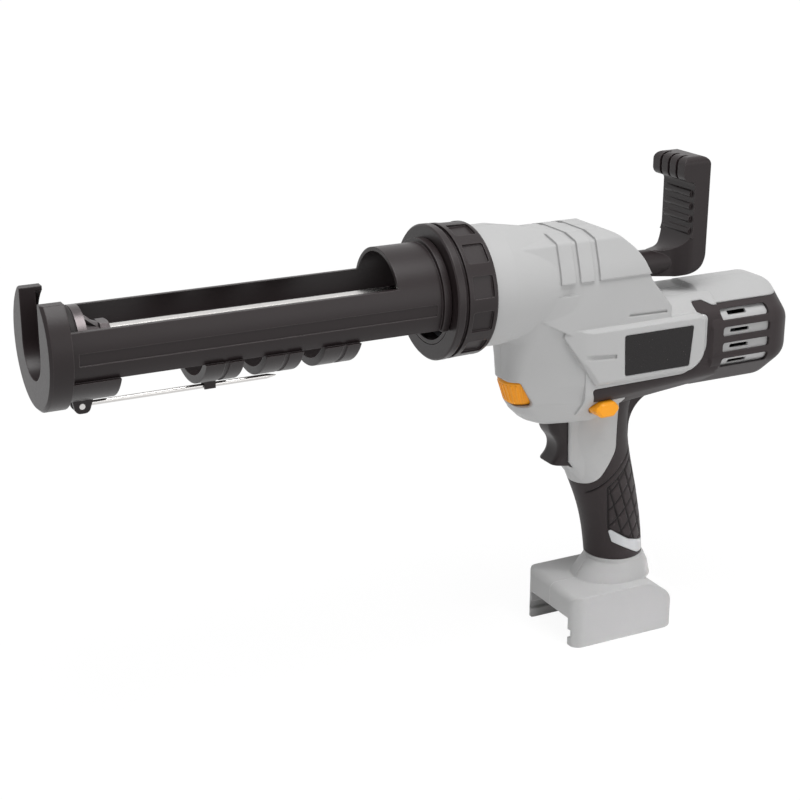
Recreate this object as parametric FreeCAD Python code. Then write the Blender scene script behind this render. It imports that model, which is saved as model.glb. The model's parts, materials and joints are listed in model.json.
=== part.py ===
import FreeCAD
import Part
import math
import os

# Cordless caulking tool, modelled as the pieces it comes apart into.
# Millimetres. X points forwards along the cartridge, Y to the left and Z up.
# The origin is on the cartridge axis, at the front face of the housing.

# Fits
running_gap = 0.05
sliding_gap = 0.4
seam_gap = 0.25

# Cartridge cradle: a windowed half tube with a hood at its back
cartridge_radius = 25.0
cartridge_gap = 0.4
tube_wall = 2.2
strap_wall = 4.2
cartridge_front = 230.0
rail_top = 11.0
rail_bottom = -14.3
panel_top = 1.0
panel_bottom = -5.3
panel_depth = 0.6
fin_length = 28.0
strap_width = 20.0
strap_pitch = 32.0
strap_count = 3
first_strap_gap = 43.0
strap_groove = 0.7
hood_length = 29.0
hood_ring = 2.2
flange_wall = 3.6

# Front cap with its nozzle slot
cap_plate = 8.0
cap_lap = 3.4
cap_wall = 5.0
cap_slot = 32.0
cap_horn = 24.5

# Lock ring
ring_length = 24.0
ring_gap = 0.5
ring_lip = 4.2
ring_radius = 36.4
ring_groove = 2.6
ring_pads = 12
ring_pad_depth = 1.3

# Push rod, rack and piston
rod_radius = 6.0
rod_rear = -125.0
rod_travel = 205.0
rack_module = 1.5
rack_flat = 1.3
piston_setback = 7.0
piston_radius = 18.0
piston_plate_wall = 3.0
piston_rim = 1.6
wiper_wall = 4.0
wiper_dish = 1.2
stud_radius = 3.0
hub_length = 11.0
hub_radius = 8.0
rib_count = 6
nut_height = 5.0
nut_flats = 16.0

# Pull handle
arm_radius = 7.6
arm_front = -97.0
handle_front = -137.0
handle_wall = 9.5
handle_width = 30.0
handle_top = 61.0
handle_lip = 8.0
elbow_length = 20.0
elbow_round = 13.0
lip_height = 13.0
ridge_count = 4
ridge_pitch = 7.2
lip_grooves = 3
lip_groove_pitch = 7.5

# Housing shells
shell_wall = 3.2
rubber_wall = 1.8
neck_radius = 33.2
neck_length = 14.0
dome_half_width = 29.0
dome_top = 26.5
dome_rear = -115.0
waist_half_width = 28.5
nose_tip = -82.5
barrel_half_width = 30.5
barrel_top = -14.0
barrel_bottom = -74.0
barrel_front = -140.0
barrel_rear = -203.0
grip_half_width = 17.0
grip_bottom = -186.0
bar_proud = 3.0
rib_proud = 1.2
line_depth = 0.9

# Battery foot
foot_front = -59.0
foot_rear = -131.0
foot_half_width = 27.0
foot_top = -187.0
foot_bottom = -218.5
skirt_wall = 6.5
rail_depth = 2.2
rail_height = 5.0
rail_lift = 5.5
channel_top = -201.0
channel_rear = -125.0

# Gear train
pinion_x = -63.0
pinion_teeth = 12
pinion_width = 12.0
shaft_radius = 4.0
spur_module = 1.25
layshaft_teeth = 16
output_teeth = 32
output_width = 5.0
lay_radius = 3.5
bevel_module = 1.5
bevel_pinion_teeth = 12
bevel_gear_teeth = 18
bevel_inner = 0.68
planet_module = 0.8
sun_teeth = 12
planet_teeth = 15
ring_teeth = 42
planet_count = 3
planet_width = 8.0
tooth_backlash = 0.14

# Gear case
case_wall = 3.0
case_half_width = 20.0
case_top = 9.0
case_bottom = -58.0
case_rear_wall = 5.0
cup_depth = 9.0
bush_wall = 2.0

# Motor
can_radius = 18.5
can_length = 57.0
can_wall = 1.5
magnet_wall = 2.5
air_gap = 0.6
motor_shaft_radius = 2.5
fan_radius = 20.0

# Trigger, selector and dial
trigger_width = 19.0
trigger_travel = 6.0
trigger_rear = -69.5
trigger_drop = 28.5
selector_x = -75.4
selector_z = -73.0
selector_length = 16.5
selector_height = 8.8
selector_end = 29.5
selector_travel = 6.0
dial_radius = 14.6
dial_taper = 2.2
dial_height = 15.0
dial_proud = 0.7
dial_reveal = 3.6
dial_slant = 5.5
dial_bore = 2.5
dial_seat = 4.0

# Piercing wire
wire_radius = 1.3
wire_length = 104.0
wire_drop = 3.4
wire_eye_wall = 1.4
wire_pivot_back = 14.0
wire_pin_radius = 1.5
wire_ear_half_width = 4.2

# Screws
screw_head_radius = 3.0
screw_head_height = 2.4
screw_radius = 1.5
screw_depth = 8.0
boss_radius = 5.0

# Worked-out sizes
bore_radius = cartridge_radius + cartridge_gap
tube_radius = bore_radius + tube_wall
strap_radius = bore_radius + strap_wall
cap_front = cartridge_front + cap_plate
cap_rear = cartridge_front - cap_lap
cap_radius = tube_radius + cap_wall
ring_front = ring_gap + ring_length
flange_rear = ring_front - ring_lip - flange_wall
socket_radius = tube_radius + hood_ring
fin_rear = cap_rear - fin_length + cap_lap
rack_pitch = math.pi * rack_module
rack_line = -(rod_radius - rack_flat) + rack_module
pinion_radius = rack_module * pinion_teeth / 2
pinion_z = rack_line - pinion_radius
spur_distance = spur_module * (layshaft_teeth + output_teeth) / 2
motor_z = pinion_z - spur_distance
bevel_pinion_radius = bevel_module * bevel_pinion_teeth / 2
bevel_gear_radius = bevel_module * bevel_gear_teeth / 2
carrier_radius = planet_module * (sun_teeth + planet_teeth) / 2
case_rear = pinion_x - spur_module * output_teeth / 2 - spur_module - case_rear_wall - 1.2
case_plate_inner = case_half_width - case_wall
handle_rear = handle_front - handle_wall
piston_front = cartridge_front - piston_setback
wire_z = -strap_radius - wire_drop
wire_pivot_x = cartridge_front - wire_pivot_back


def point(x, y, z):
    return FreeCAD.Vector(x, y, z)


def block(x_range, y_range, z_range):
    low = point(min(x_range), min(y_range), min(z_range))
    size = [max(r) - min(r) for r in (x_range, y_range, z_range)]
    return Part.makeBox(size[0], size[1], size[2], low)


def bar_x(radius, x_from, x_to, y=0.0, z=0.0):
    """A round bar along X."""
    return Part.makeCylinder(radius, abs(x_to - x_from), point(min(x_from, x_to), y, z), point(1, 0, 0))


def bar_y(radius, y_from, y_to, x, z):
    """A round bar along Y."""
    return Part.makeCylinder(radius, abs(y_to - y_from), point(x, min(y_from, y_to), z), point(0, 1, 0))


def tube_x(outer, inner, x_from, x_to, z=0.0):
    return bar_x(outer, x_from, x_to, 0.0, z).cut(bar_x(inner, x_from, x_to, 0.0, z))


def tube_y(outer, inner, y_from, y_to, x, z):
    return bar_y(outer, y_from, y_to, x, z).cut(bar_y(inner, y_from, y_to, x, z))


def turned(profile, z=0.0):
    """A solid turned about the X direction at height z, from (x, radius) points."""
    points = [point(x, 0, z + radius) for x, radius in profile]
    face = Part.Face(Part.makePolygon(points + points[:1]))
    return face.revolve(point(0, 0, z), point(1, 0, 0), 360)


def rounded(corners, place):
    """A closed face through (a, b, radius) corners, each rounded by its radius."""
    edges = []
    ends = []
    count = len(corners)
    for i in range(count):
        a, b, radius = corners[i]
        here = FreeCAD.Vector(a, b, 0)
        back = FreeCAD.Vector(*corners[i - 1][:2], 0) - here
        ahead = FreeCAD.Vector(*corners[(i + 1) % count][:2], 0) - here
        back.normalize()
        ahead.normalize()
        half = back.getAngle(ahead) / 2
        if radius <= 0 or abs(half - math.pi / 2) < 1e-6:
            ends.append((here, None, here))
            continue
        trim = radius / math.tan(half)
        middle = back + ahead
        middle.normalize()
        top = here + middle * (radius / math.sin(half) - radius)
        ends.append((here + back * trim, top, here + ahead * trim))
    for i in range(count):
        start, top, stop = ends[i]
        if top is not None:
            arc = Part.Arc(place(start.x, start.y), place(top.x, top.y), place(stop.x, stop.y))
            edges.append(arc.toShape())
        following = ends[(i + 1) % count][0]
        if (following - stop).Length > 1e-6:
            edges.append(Part.makeLine(place(stop.x, stop.y), place(following.x, following.y)))
    return Part.Face(Part.Wire(edges))


def inset(corners, distance):
    """The same outline moved inwards, with its rounding kept parallel."""
    count = len(corners)
    area = sum(corners[i - 1][0] * corners[i][1] - corners[i][0] * corners[i - 1][1] for i in range(count))
    turn = 1.0 if area > 0 else -1.0
    moved = []
    for i in range(count):
        a, b, radius = corners[i]
        in_a, in_b = a - corners[i - 1][0], b - corners[i - 1][1]
        out_a, out_b = corners[(i + 1) % count][0] - a, corners[(i + 1) % count][1] - b
        in_length = math.hypot(in_a, in_b)
        out_length = math.hypot(out_a, out_b)
        in_a, in_b = in_a / in_length, in_b / in_length
        out_a, out_b = out_a / out_length, out_b / out_length
        bend = in_a * out_b - in_b * out_a
        normal_in = (-in_b * turn, in_a * turn)
        normal_out = (-out_b * turn, out_a * turn)
        share = distance / (1 + normal_in[0] * normal_out[0] + normal_in[1] * normal_out[1])
        kept = radius
        if radius > 0:
            kept = max(radius - distance * math.copysign(1, bend * turn), 0.3)
        moved.append((a + share * (normal_in[0] + normal_out[0]), b + share * (normal_in[1] + normal_out[1]), kept))
    return moved


def prism_x(corners, x_from, x_to):
    """A prism along X from (y, z, radius) corners."""
    face = rounded(corners, lambda a, b: point(x_from, a, b))
    return face.extrude(point(x_to - x_from, 0, 0))


def prism_y(corners, y_from, y_to):
    """A prism along Y from (x, z, radius) corners."""
    return rounded(corners, lambda a, b: point(a, y_from, b)).extrude(point(0, y_to - y_from, 0))


def prism_z(corners, z_from, z_to, lean=0.0):
    """A prism along Z from (x, y, radius) corners, leaning by lean mm of X for each mm of Z."""
    height = z_to - z_from
    return rounded(corners, lambda a, b: point(a, b, z_from)).extrude(point(lean * height, 0, height))


def mirrored(corners):
    """Right half outline (y, z, radius), top to bottom, completed by its mirror image."""
    return corners + [(-y, z, radius) for y, z, radius in reversed(corners)]


def fused(shapes):
    return shapes[0].multiFuse(shapes[1:])


def joined(shapes):
    """The shapes as one, with the seams between their flush faces removed."""
    return fused(shapes).removeSplitter()


def split_y(shape, side):
    """The half of a shape on one side of the parting plane: side is 1 for left and -1 for right."""
    reach = 400.0
    half = block((-reach, reach), (0, side * reach), (-reach, reach))
    return shape.common(half)


# Gear outlines

def involute(angle):
    return math.tan(angle) - angle


def gear_face(teeth, module, place, tip, root, backlash, turn=0.0):
    """A gear's face: involute flanks from root to tip, in modules from the pitch circle."""
    pressure = math.radians(20)
    pitch = module * teeth / 2
    base = pitch * math.cos(pressure)
    low = pitch - root * module
    high = pitch + tip * module
    steps = 4
    flank = []
    for i in range(steps + 1):
        radius = low + (high - low) * i / steps
        grip = math.acos(min(base / radius, 1.0))
        half = math.pi / (2 * teeth) - backlash / (2 * pitch) + involute(pressure) - involute(grip)
        flank.append((radius, half))
    points = []
    for tooth in range(teeth):
        middle = turn + 2 * math.pi * tooth / teeth
        for radius, half in flank:
            points.append((radius * math.cos(middle - half), radius * math.sin(middle - half)))
        for radius, half in reversed(flank):
            points.append((radius * math.cos(middle + half), radius * math.sin(middle + half)))
    wire = Part.makePolygon([place(a, b) for a, b in points + points[:1]])
    return Part.Face(wire)


def spur_x(teeth, module, x_from, x_to, y, z, turn=0.0, tip=1.0, root=1.2, backlash=tooth_backlash):
    """A spur gear about the X direction; angles run from Y towards Z."""
    face = gear_face(teeth, module, lambda a, b: point(x_from, y + a, z + b), tip, root, backlash, turn)
    return face.extrude(point(x_to - x_from, 0, 0))


def spur_y(teeth, module, y_from, y_to, x, z, turn=0.0, tip=1.0, root=1.2):
    """A spur gear about the Y direction; angles run from Z towards X."""
    face = gear_face(teeth, module, lambda a, b: point(x + b, y_from, z + a), tip, root, tooth_backlash, turn)
    return face.extrude(point(0, y_to - y_from, 0))


def bevel_teeth(teeth, radius, height, tip, root, place, turn):
    """A straight bevel gear: one star outline drawn in towards the apex, which is the origin of place."""
    step = 2 * math.pi / teeth
    flank = ((radius - root, 0.355), (radius, 0.225), (radius + tip, 0.10))

    def star(scale):
        points = []
        for tooth in range(teeth):
            middle = turn + step * tooth
            for r, half in flank:
                points.append((r * scale, middle - half * step))
            for r, half in reversed(flank):
                points.append((r * scale, middle + half * step))
        spots = [place(r * math.cos(angle), r * math.sin(angle), height * scale) for r, angle in points]
        return Part.makePolygon(spots + spots[:1])

    return Part.makeLoft([star(1.0), star(bevel_inner)], True, True)


# Cartridge cradle and front cap

def make_cradle():
    length = cartridge_front - flange_rear
    whole = tube_x(tube_radius, bore_radius, flange_rear, cartridge_front)
    hood_front = ring_front + hood_length
    over = 2 * ring_radius
    above = block((hood_front, cartridge_front + 1), (-over, over), (rail_top, over))
    below = block((ring_front, cap_rear), (-over, over), (rail_bottom, -over))
    cradle = whole.cut(above).cut(below)
    lower = block((flange_rear, cartridge_front), (-over, over), (rail_bottom, -over))
    straps = [tube_x(strap_radius, bore_radius, fin_rear, cap_rear)]
    for i in range(strap_count):
        front = fin_rear - first_strap_gap - i * strap_pitch
        strap = tube_x(strap_radius, bore_radius, front - strap_width, front)
        groove = tube_x(strap_radius + 1, strap_radius - strap_groove, front - 0.62 * strap_width,
                        front - 0.5 * strap_width)
        straps.append(strap.cut(groove))
    straps = [strap.common(lower) for strap in straps]
    shoulder = tube_x(tube_radius + hood_ring, bore_radius, ring_front + ring_gap, ring_front + ring_gap + 4)
    shoulder = shoulder.cut(lower)
    flange = tube_x(tube_radius + hood_ring - 0.2, bore_radius, flange_rear, flange_rear + flange_wall)
    cradle = joined([cradle, shoulder, flange] + straps)
    groove = tube_x(tube_radius + 1, tube_radius - panel_depth, hood_front * 0.6, cap_rear - 4)
    panel = block((0, length * 2), (-over, over), (panel_bottom, panel_top))
    clip = wire_clip()
    bracket = wire_bracket()
    return cradle.cut(groove.common(panel)).fuse([clip, bracket]).removeSplitter()


def wire_clip():
    """A hook under the front strap that the wire snaps into from below."""
    x = fin_rear - first_strap_gap - strap_width / 2
    body = block((x - 3, x + 3), (-2.6, 2.6), (wire_z - wire_radius, -strap_radius + 1.0))
    slot = block((x - 4, x + 4), (-wire_radius - 0.3, wire_radius + 0.3), (wire_z - 5, wire_z))
    seat = bar_x(wire_radius + 0.3, x - 4, x + 4, 0, wire_z)
    return body.cut(slot).cut(seat)


def wire_bracket():
    """Two ears under the fin that carry the wire's pivot pin."""
    low = wire_z - 3.6
    outline = [(wire_pivot_x + 5, -strap_radius + 1.0, 0), (wire_pivot_x - 6, -strap_radius + 1.0, 0),
               (wire_pivot_x - 3.4, low, 3.0), (wire_pivot_x + 3.4, low, 3.0)]
    inner = wire_radius + sliding_gap
    ears = prism_y(outline, inner, wire_ear_half_width)
    ears = ears.fuse(prism_y(outline, -wire_ear_half_width, -inner))
    return ears.cut(bar_y(wire_pin_radius, -6, 6, wire_pivot_x, wire_z))


def make_front_cap():
    profile = [(cap_rear, tube_radius), (cap_rear, cap_radius), (cap_front - 1.5, cap_radius),
               (cap_front, cap_radius - 1.5), (cap_front, 0), (cartridge_front, 0), (cartridge_front, tube_radius)]
    cap = turned(profile)
    half = cap_slot / 2
    slot = bar_x(half, cap_rear - 1, cap_front + 1, 0, -1.2)
    upper = block((cap_rear - 1, cap_front + 1), (-half, half), (-1.2, 2 * cap_radius))
    crown = block((cap_rear - 1, cap_front + 1), (-cap_radius, cap_radius), (cap_horn, 2 * cap_radius))
    return cap.cut(slot.fuse(upper)).cut(crown)


def make_lock_ring():
    nose = tube_radius + hood_ring
    groove_front = ring_front - ring_lip
    groove_rear = groove_front - ring_groove
    profile = [(ring_gap, nose + sliding_gap), (ring_gap, ring_radius - 0.9), (ring_gap + 1, ring_radius - 0.4),
               (groove_rear, ring_radius), (groove_rear, ring_radius - 1.8), (groove_front, ring_radius - 1.8),
               (groove_front, ring_radius + 0.2), (ring_front - 0.8, ring_radius + 0.2),
               (ring_front, ring_radius - 0.6), (ring_front, tube_radius + sliding_gap),
               (groove_front, tube_radius + sliding_gap), (groove_front, nose + sliding_gap)]
    ring = turned(profile)
    middle = (ring_gap + groove_rear) / 2
    length = (groove_rear - ring_gap) * 0.72
    width = 2 * math.pi * ring_radius / ring_pads * 0.62
    pad = prism_z([(middle - length / 2, -width / 2, 1.2), (middle + length / 2, -width / 2, 1.2),
                   (middle + length / 2, width / 2, 1.2), (middle - length / 2, width / 2, 1.2)],
                  ring_radius - ring_pad_depth - 0.6, ring_radius + 2)
    pads = []
    for i in range(ring_pads):
        copy = pad.copy()
        copy.rotate(point(0, 0, 0), point(1, 0, 0), 360.0 * (i + 0.5) / ring_pads)
        pads.append(copy)
    return ring.cut(pads)


def make_wire():
    """The piercing wire: an eye round its pivot pin and a straight pointed rod."""
    bore = wire_pin_radius + running_gap
    half = wire_radius - 0.2
    eye = tube_y(bore + wire_eye_wall, bore, -half, half, wire_pivot_x, wire_z)
    tip = wire_pivot_x - wire_length
    shank = turned([(wire_pivot_x - 2.6, 0), (wire_pivot_x - 2.6, wire_radius), (tip + 5, wire_radius),
                    (tip, 0.25), (tip, 0)], wire_z)
    return eye.fuse(shank).removeSplitter()


# Push rod, piston and pull handle

def make_push_rod():
    rod = bar_x(rod_radius, rod_rear, piston_front - wiper_wall)
    flat = rod_radius - rack_flat
    teeth_rear = pinion_x - 2.5 * pinion_radius / 2 - rack_pitch
    teeth_front = pinion_x + rod_travel + 2.5 * pinion_radius / 2
    strip = block((teeth_rear, teeth_front), (-rod_radius, rod_radius), (-flat, -2 * rod_radius))
    rod = rod.cut(strip)
    depth = 2.25 * rack_module
    slope = math.tan(math.radians(20))
    half = rack_pitch / 4 + tooth_backlash / 2
    count = int((teeth_front - teeth_rear) / rack_pitch) - 1
    first = pinion_x + rack_pitch * math.ceil((teeth_rear - pinion_x) / rack_pitch + 0.5)
    gaps = []
    for i in range(count):
        x = first + i * rack_pitch
        mouth = half + slope * rack_module
        foot = half - slope * (depth - rack_module)
        gaps.append(prism_y([(x - mouth, -flat, 0), (x - foot, -flat + depth, 0), (x + foot, -flat + depth, 0),
                             (x + mouth, -flat, 0)], -rod_radius, rod_radius))
    stud = bar_x(stud_radius, piston_front - wiper_wall - 12, piston_front)
    return rod.cut(gaps).cut(stud)


def make_piston_plate():
    """The plate behind the wiper: a rim, a braced cone and a hub round the rod."""
    front = piston_front - wiper_wall
    rear = front - piston_plate_wall
    radius = piston_radius - 0.6
    lip = 1.6
    profile = [(front, 0), (front, radius), (rear - lip, radius), (rear - lip, radius - piston_rim),
               (rear, radius - 2 * piston_rim), (rear, hub_radius + 4), (rear - hub_length, hub_radius),
               (rear - hub_length, 0)]
    plate = turned(profile)
    ribs = []
    for i in range(rib_count):
        rib = prism_y([(rear + 0.5, hub_radius - 1, 0), (rear + 0.5, radius - piston_rim, 0),
                       (rear - 1.5, radius - piston_rim, 0), (rear - hub_length + 1, hub_radius - 0.2, 0),
                       (rear - hub_length + 1, hub_radius - 1, 0)], -1.1, 1.1)
        rib.rotate(point(0, 0, 0), point(1, 0, 0), 360.0 * (i + 0.5) / rib_count)
        ribs.append(rib)
    plate = joined([plate] + ribs)
    return plate.cut(bar_x(rod_radius, rear - hub_length - 1, front))


def make_piston_wiper():
    rear = piston_front - wiper_wall
    dish = piston_front - wiper_dish
    profile = [(rear, 0), (rear, piston_radius - 1.0), (rear + 1.2, piston_radius),
               (piston_front - 0.6, piston_radius), (piston_front, piston_radius - 0.8),
               (piston_front, piston_radius - 6), (dish, piston_radius - 7), (dish, 0)]
    return turned(profile).cut(bar_x(stud_radius, rear - 1, piston_front + 1))


def make_piston_screw():
    seat = piston_front - wiper_dish
    head = turned([(seat, 0), (seat, 6.5), (seat + 1.6, 5.6), (seat + 2.6, 3.0), (seat + 2.6, 0)])
    return head.fuse(bar_x(stud_radius, piston_front - wiper_wall - 11, seat)).removeSplitter()


def make_piston_nut():
    front = piston_front - wiper_wall - piston_plate_wall - hub_length
    corner = nut_flats / math.sqrt(3)
    corners = [(corner * math.cos(i * math.pi / 3), corner * math.sin(i * math.pi / 3), 0) for i in range(6)]
    nut = prism_x(corners, front - nut_height, front)
    crown = turned([(front, 0), (front, corner + 1), (front - nut_height + 1.0, corner + 1),
                    (front - nut_height, nut_flats / 2), (front - nut_height, 0)])
    return nut.common(crown).cut(bar_x(rod_radius, front - nut_height - 1, front + 1))


def make_pull_handle():
    leg_front = handle_front + elbow_length
    side = [(leg_front, -arm_radius, 0), (handle_rear, -arm_radius, 14), (handle_rear - 0.5, handle_top, 5),
            (handle_front + handle_lip, handle_top, 5), (handle_front + handle_lip, handle_top - lip_height, 4.5),
            (handle_front, handle_top - lip_height - 1, 3), (handle_front, arm_radius, elbow_round),
            (leg_front, arm_radius, 0)]
    half = handle_width / 2
    blade = prism_y(side, -half, half)
    front_view = mirrored([(half, handle_top, 4), (half, -arm_radius, arm_radius - 0.5)])
    blade = blade.common(prism_x(front_view, handle_rear - 1, leg_front + 1))
    plan = [(handle_rear - 1, half, 0), (handle_front, half, 5), (handle_front + 8, arm_radius, 10),
            (leg_front + 1, 1.0, 0)]
    plan += [(x, -y, radius) for x, y, radius in reversed(plan)]
    leg = blade.common(prism_z(plan, -2 * arm_radius, 2 * arm_radius))
    upper = blade.common(block((handle_rear - 1, leg_front), (-half, half), (2 * arm_radius, handle_top)))
    arm = bar_x(arm_radius, handle_rear + 4, arm_front)
    ridges = []
    for i in range(ridge_count):
        z = handle_top - lip_height - 8 - i * ridge_pitch
        ridges.append(bar_y(2.4, -half + 3, half - 3, handle_front - 1.0, z))
    handle = joined([leg, upper, arm] + ridges)
    grooves = []
    for i in range(lip_grooves):
        y = (i - (lip_grooves - 1) / 2) * lip_groove_pitch
        grooves.append(block((handle_front + handle_lip - 2.2, handle_front + handle_lip + 1), (y - 1.1, y + 1.1),
                             (handle_top - lip_height - 1, handle_top + 1)))
        grooves.append(block((handle_front + 1, handle_front + handle_lip + 1), (y - 1.1, y + 1.1),
                             (handle_top - 1.8, handle_top + 1)))
    return handle.cut(grooves).cut(bar_x(rod_radius, rod_rear, arm_front + 1))


# Housing: each outline is kept once and drawn in by a wall for the core and for the hollow

dome_section = mirrored([(10.0, dome_top, 12.0), (22.5, dome_top - 3.0, 2.0), (dome_half_width, 4.0, 45.0),
                         (dome_half_width, -40.0, 0.0)])
dome_side = [(-60.0, -32.0, 0.0), (-6.0, -4.0, 0.0), (-6.0, dome_top, 0.0), (-79.0, dome_top, 10.0),
             (-93.5, 14.5, 30.0), (-101.0, -1.0, 0.0), (dome_rear, -18.0, 3.0), (dome_rear, -32.0, 0.0)]
dome_plan = [(0.0, 20.5, 0.0), (-60.0, dome_half_width + 0.5, 25.0), (-130.0, dome_half_width + 0.5, 0.0),
             (-130.0, -dome_half_width - 0.5, 0.0), (-60.0, -dome_half_width - 0.5, 25.0), (0.0, -20.5, 0.0)]
waist_front_section = mirrored([(17.0, -16.5, 8.0), (waist_half_width, -27.0, 6.0), (waist_half_width, -66.0, 8.0),
                                (18.0, -78.0, 8.0)])
waist_rear_section = mirrored([(17.0, -16.5, 8.0), (waist_half_width, -27.0, 6.0), (waist_half_width, -62.0, 8.0),
                               (14.0, -71.0, 8.0)])
waist_front = -60.0
front_rear = -88.0
flare_x = -60.0
flare_round = 10.0
front_stations = ((-4.0, -6.0, 28.8, 28.9, 28.8), (-20.0, -18.0, 22.5, 28.8, 28.6),
                  (-32.0, -21.5, 16.0, 28.5, 28.5), (-45.0, -22.5, 12.2, 28.3, 28.5),
                  (-57.0, -23.2, 10.8, 28.0, 28.4), (-68.0, -27.2, 12.0, 25.5, 24.5),
                  (-75.0, -31.0, 12.2, 19.5, 17.5), (-80.0, -36.0, 11.0, 16.5, 16.8),
                  (nose_tip, -42.0, 9.0, 14.0, 16.6))
cheek_stations = ((-80.0, -61.0, 11.2), (-108.0, -61.8, 11.0), (-121.0, -71.5, 9.0))
barrel_section = mirrored([(11.0, barrel_top, 12.0), (barrel_half_width, -31.0, 12.0),
                           (barrel_half_width, -57.0, 12.0), (11.0, barrel_bottom, 12.0)])
barrel_round = 15.0
barrel_bevel = 4.0
grip_stations = ((-70.0, -88.0, 21.5), (-106.0, -85.3, 22.3), (-129.0, -92.8, 19.8), (-152.0, -99.0, 18.0),
                 (grip_bottom, -103.5, 17.0))
web_half_width = 6.5
web_side = [(-95.0, -66.0, 0.0), (-150.0, -66.0, 0.0), (-150.0, -73.0, 0.0), (-105.0, -76.5, 20.0),
            (-105.0, -110.0, 0.0), (-95.0, -110.0, 0.0)]


def make_neck(wall):
    radius = neck_radius - wall
    return turned([(-wall, 0), (-wall, radius), (-neck_length, radius), (-48.0, radius - 5.5), (-48.0, 0)])


def make_dome(wall):
    section = prism_x(inset(dome_section, wall), -6.0 - wall, dome_rear)
    dome = section.common(prism_y(inset(dome_side, wall), -60, 60))
    return dome.common(prism_z(inset(dome_plan, wall), -60, 60))


def make_front(wall):
    """The front of the body below the neck, drawn through its plan outlines from the neck down to the nose."""
    wires = []
    for z, front, half, flare, rear_half in front_stations:
        corners = [(front, half, half - 0.5), (front, -half, half - 0.5), (flare_x, -flare, flare_round),
                   (front_rear, -rear_half, 0.0), (front_rear, rear_half, 0.0), (flare_x, flare, flare_round)]
        height = max(z, nose_tip + wall)
        wires.append(rounded(inset(corners, wall), lambda a, b: point(a, b, height)).OuterWire)
    return Part.makeLoft(wires, True, True)


def make_cheeks(wall):
    """The fuller front of the grip, on both sides of the trigger."""
    wires = []
    for z, front, half in cheek_stations:
        corners = [(front, half, 3.5), (front, -half, 3.5), (front_rear, -grip_half_width + 0.5, 0.0),
                   (front_rear, grip_half_width - 0.5, 0.0)]
        wires.append(rounded(inset(corners, wall), lambda a, b: point(a, b, z)).OuterWire)
    return Part.makeLoft(wires, True, True)


def make_waist(wall):
    front = rounded(inset(waist_front_section, wall), lambda a, b: point(waist_front, a, b))
    rear = rounded(inset(waist_rear_section, wall), lambda a, b: point(barrel_front - 10, a, b))
    return Part.makeLoft([front.OuterWire, rear.OuterWire], True, True)


def make_barrel(wall):
    barrel = prism_x(inset(barrel_section, wall), barrel_front - wall, barrel_rear + wall)
    rear_edges = [edge for edge in barrel.Edges if edge.BoundBox.XMax < barrel_rear + wall + 0.01]
    barrel = barrel.makeFillet(barrel_round - wall, rear_edges)
    front_edges = [edge for edge in barrel.Edges if edge.BoundBox.XMin > barrel_front - wall - 0.01]
    return barrel.makeChamfer(barrel_bevel, front_edges)


def oval(x, z, half_length, half_width):
    ellipse = Part.Ellipse(point(x, 0, z), half_length, half_width)
    return Part.Wire(ellipse.toShape())


def make_grip(wall):
    ovals = [oval(x, z, half - wall, grip_half_width - wall) for z, x, half in grip_stations]
    return Part.makeLoft(ovals, True, False)


def make_web(wall):
    half = web_half_width - wall / 2
    return prism_y(inset(web_side, wall), -half, half)


def make_plinth():
    x = grip_stations[-1][1]
    return Part.makeLoft([oval(x + 3, foot_top - 1, 25.0, 21.0), oval(x + 1, foot_top + 6, 21.5, 18.5),
                          oval(x, foot_top + 12, 17.4, 17.0)], True, True)


def make_foot():
    side = [(foot_front, foot_top, 4.0), (foot_rear, foot_top, 26.0), (foot_rear, foot_bottom, 3.0),
            (foot_front, foot_bottom, 1.5)]
    plan = [(foot_front, foot_half_width, 7.0), (foot_front, -foot_half_width, 7.0),
            (foot_rear, -foot_half_width, 9.0), (foot_rear, foot_half_width, 9.0)]
    solid = prism_y(side, -60, 60).common(prism_z(plan, foot_bottom - 5, foot_top + 5))
    inner = foot_half_width - skirt_wall
    groove = inner + rail_depth
    low = foot_bottom + rail_lift
    channel = block((foot_front + 1, channel_rear), (-inner, inner), (channel_top, foot_bottom - 1))
    rails = block((foot_front + 1, channel_rear), (-groove, groove), (low, low + rail_height))
    return solid.cut(channel).cut(rails)


def upper_pieces(wall):
    return [make_neck(wall), make_dome(wall), make_front(wall), make_waist(wall), make_barrel(wall),
            make_grip(wall), make_cheeks(wall), make_web(wall)]


def side_bar():
    """The raised bar along each side, with a bevelled edge."""
    side = [(-44.0, -24.5, 3.0), (-139.0, -24.5, 6.0), (-139.0, -57.5, 12.0), (-66.0, -57.5, 4.0)]
    reach = waist_half_width + bar_proud
    bar = prism_y(side, -reach, reach)
    rim = [edge for edge in bar.Edges if abs(abs(edge.CenterOfMass.y) - reach) < 0.01]
    bar = bar.makeChamfer(2.0, rim)
    plan = [(-40.0, reach - 7.5, 0.0), (flare_x, reach, 25.0), (-145.0, reach, 0.0), (-145.0, -reach, 0.0),
            (flare_x, -reach, 25.0), (-40.0, -reach + 7.5, 0.0)]
    return bar.common(prism_z(plan, -70.0, -10.0))


def side_lines():
    """A shallow groove above each side bar and a notch near its front end."""
    upper = [(-87.0, -19.3, 0.0), (-112.0, -19.9, 0.0), (-112.0, -21.1, 0.0), (-87.0, -20.5, 0.0)]
    notch = [(-56.0, -38.6, 0.0), (-78.0, -40.4, 0.0), (-78.0, -42.6, 0.0), (-57.8, -41.2, 0.0)]
    cuts = []
    for face, corners in ((dome_half_width, upper), (waist_half_width + bar_proud, notch)):
        cuts.append(prism_y(corners, face - line_depth, 60))
        cuts.append(prism_y(corners, -60, -face + line_depth))
    return cuts


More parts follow.
